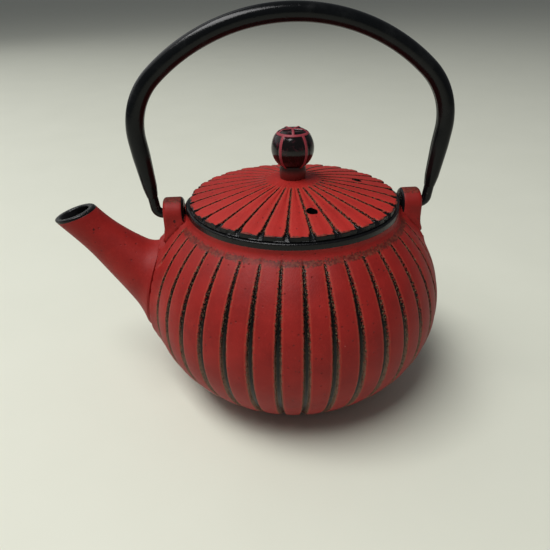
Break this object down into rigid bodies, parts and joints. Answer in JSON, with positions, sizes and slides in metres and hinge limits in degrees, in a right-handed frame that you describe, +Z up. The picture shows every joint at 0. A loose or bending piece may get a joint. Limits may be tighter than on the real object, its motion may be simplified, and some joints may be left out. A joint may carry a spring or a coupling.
{
  "type": "cast iron teapot",
  "caption": "Small round cast iron teapot with vertical ribs, angled spout, ribbed lid with ball knob, arched swinging bail and a lift-out infuser basket.",
  "frame": {"origin": "on the pot's upright axis, at the level of the table under the foot ring", "axes": "+Z up; the spout points along -X; the bail's hinge line and both lugs lie along X"},
  "size_m": [0.1599, 0.124, 0.1557],
  "materials": {
    "red_paint": "matt red paint on pitted cast iron, black in the grooves",
    "lid_paint": "matt red paint on cast iron, black at the edge and in the grooves",
    "knob_enamel": "glossy black enamel with rubbed red ribs",
    "bail_black": "semi-gloss black enamel with small chips",
    "zinc_steel": "dull zinc-plated steel",
    "stainless": "bright stainless sheet"
  },
  "bodies": {
    "pot": {"pot_casting": "red_paint", "spout": "red_paint", "lug_right": "red_paint", "lug_left": "red_paint"},
    "bail": {"bail_tube": "bail_black", "bail_hook_right": "bail_black", "bail_hook_left": "bail_black"},
    "infuser": {"infuser_rim": "stainless", "infuser_wall": "stainless", "infuser_floor": "stainless", "infuser_band": "stainless"},
    "lid": {"lid": "lid_paint", "knob": "knob_enamel", "knob_screw": "zinc_steel", "knob_washer": "zinc_steel"}
  },
  "joints": [
    {"name": "bail_swing", "type": "hinge", "parent": "pot", "child": "bail", "pos_m": [0, 0, 0.0794], "axis": [1, 0, 0], "range_deg": [-116, 116]},
    {"name": "infuser_lift", "type": "slide", "parent": "pot", "child": "infuser", "axis": [0, 0, 1], "range_m": [0, 0.032]},
    {"name": "lid_lift", "type": "slide", "parent": "infuser", "child": "lid", "axis": [0, 0, 1], "range_m": [0, 0.032]}
  ]
}
